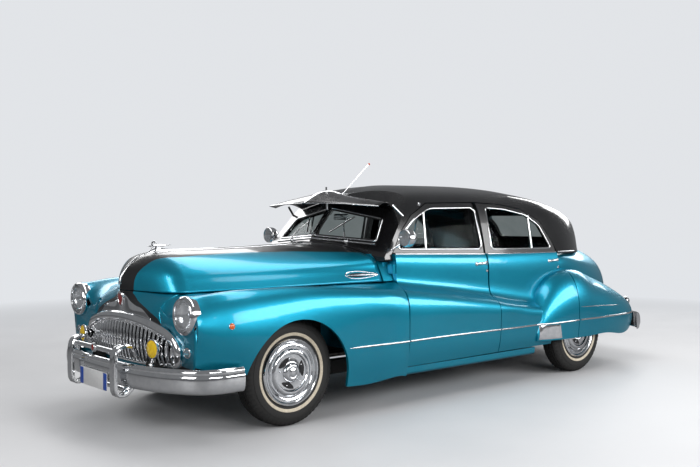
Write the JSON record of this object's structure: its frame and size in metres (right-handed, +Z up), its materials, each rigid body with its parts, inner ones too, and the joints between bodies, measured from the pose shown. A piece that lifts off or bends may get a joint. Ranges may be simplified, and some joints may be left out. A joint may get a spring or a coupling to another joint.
{
  "type": "classic four-door sedan",
  "caption": "Full-size classic sedan with swept fenders, split windscreen, opening doors, hood and trunk, steering front wheels and rolling wheels",
  "frame": {"origin": "bounding box bottom center, on the floor between the wheels", "axes": "+X forward along the car, +Y to the car's left, +Z up"},
  "size_m": [5.3974, 2.0014, 1.8186],
  "materials": {
    "body_paint": "gloss",
    "black_paint": "gloss",
    "chrome": "polished",
    "window_glass": "clear",
    "tyre_rubber": "matte",
    "seat_cloth": "woven",
    "black_steel": "satin",
    "cast_iron": "rough",
    "bare_steel": "dull",
    "cabin_plastic": "gloss"
  },
  "bodies": {
    "root": {"aerial": "chrome", "center_pillars": "black_paint", "chassis_frame": "black_steel", "cowl": "body_paint", "dashboard": "black_paint", "engine_block": "cast_iron", "exhaust": "bare_steel", "floor_pan": "black_steel", "front_bumper": "chrome", "front_fender_left": "body_paint", "front_fender_right": "body_paint", "front_seat": "seat_cloth", "front_suspension": "black_steel", "fuel_tank": "bare_steel", "grille": "chrome", "grille_surround": "chrome", "headlamps": "chrome", "nose_panel": "body_paint", "parcel_shelf": "black_paint", "radiator": "black_steel", "rear_axle": "black_steel", "rear_body": "body_paint", "rear_bumper": "chrome", "rear_fender_left": "body_paint", "rear_fender_right": "body_paint", "rear_seat": "seat_cloth", "rear_window_glass": "window_glass", "rockers": "body_paint", "roof": "black_paint", "spotlamps": "chrome", "steering_column": "cabin_plastic", "windscreen_glass": "window_glass"},
    "front_door_left": {"front_door_glass_left": "window_glass", "front_door_left": "body_paint"},
    "front_door_right": {"front_door_glass_right": "window_glass", "front_door_right": "body_paint"},
    "front_wheel_left": {"front_tyre_left": "tyre_rubber", "front_wheel_left": "chrome"},
    "front_wheel_right": {"front_tyre_right": "tyre_rubber", "front_wheel_right": "chrome"},
    "hood": {"hood": "body_paint"},
    "knuckle_left": {"knuckle_left": "black_steel"},
    "knuckle_right": {"knuckle_right": "black_steel"},
    "rear_door_left": {"rear_door_glass_left": "window_glass", "rear_door_left": "body_paint"},
    "rear_door_right": {"rear_door_glass_right": "window_glass", "rear_door_right": "body_paint"},
    "rear_wheel_left": {"rear_tyre_left": "tyre_rubber", "rear_wheel_left": "chrome"},
    "rear_wheel_right": {"rear_tyre_right": "tyre_rubber", "rear_wheel_right": "chrome"},
    "steering_wheel": {"steering_wheel": "cabin_plastic"},
    "trunk_lid": {"trunk_lid": "body_paint"}
  },
  "joints": [
    {"name": "front_door_left_hinge", "type": "hinge", "parent": "root", "child": "front_door_left", "pos_m": [0.6715, 0.925, 0.65], "axis": [0, 0, -1], "range_deg": [0, 65]},
    {"name": "rear_door_left_hinge", "type": "hinge", "parent": "root", "child": "rear_door_left", "pos_m": [-0.3755, 0.907, 0.65], "axis": [0, 0, -1], "range_deg": [0, 65]},
    {"name": "steer_left", "type": "hinge", "parent": "root", "child": "knuckle_left", "pos_m": [1.6825, 0.639, 0.355], "axis": [0, 0, 1], "range_deg": [-33, 33]},
    {"name": "front_wheel_left_spin", "type": "hinge", "parent": "knuckle_left", "child": "front_wheel_left", "pos_m": [1.6825, 0.745, 0.355], "axis": [0, 1, 0], "continuous": true},
    {"name": "rear_wheel_left_spin", "type": "hinge", "parent": "root", "child": "rear_wheel_left", "pos_m": [-1.4675, 0.795, 0.355], "axis": [0, 1, 0], "continuous": true},
    {"name": "front_door_right_hinge", "type": "hinge", "parent": "root", "child": "front_door_right", "pos_m": [0.6715, -0.925, 0.65], "axis": [0, 0, 1], "range_deg": [0, 65]},
    {"name": "rear_door_right_hinge", "type": "hinge", "parent": "root", "child": "rear_door_right", "pos_m": [-0.3755, -0.907, 0.65], "axis": [0, 0, 1], "range_deg": [0, 65]},
    {"name": "steer_right", "type": "hinge", "parent": "root", "child": "knuckle_right", "pos_m": [1.6825, -0.639, 0.355], "axis": [0, 0, 1], "range_deg": [-33, 33]},
    {"name": "front_wheel_right_spin", "type": "hinge", "parent": "knuckle_right", "child": "front_wheel_right", "pos_m": [1.6825, -0.745, 0.355], "axis": [0, 1, 0], "continuous": true},
    {"name": "rear_wheel_right_spin", "type": "hinge", "parent": "root", "child": "rear_wheel_right", "pos_m": [-1.4675, -0.795, 0.355], "axis": [0, 1, 0], "continuous": true},
    {"name": "hood_hinge", "type": "hinge", "parent": "root", "child": "hood", "pos_m": [0.7015, -0.757, 0.903], "axis": [0.9783, 0.2064, -0.0163], "range_deg": [0, 42]},
    {"name": "trunk_lid_hinge", "type": "hinge", "parent": "root", "child": "trunk_lid", "pos_m": [-2.111, 0, 1.09553], "axis": [0, 1, 0], "range_deg": [0, 62]},
    {"name": "steering_wheel_turn", "type": "hinge", "parent": "root", "child": "steering_wheel", "pos_m": [0.4115, 0.37, 0.975], "axis": [-0.8, 0, 0.6], "range_deg": [-396, 396]}
  ],
  "couplings": [
    {"joint": "steer_right", "follows": "steer_left", "ratio": 1},
    {"joint": "steering_wheel_turn", "follows": "steer_left", "ratio": 12}
  ]
}
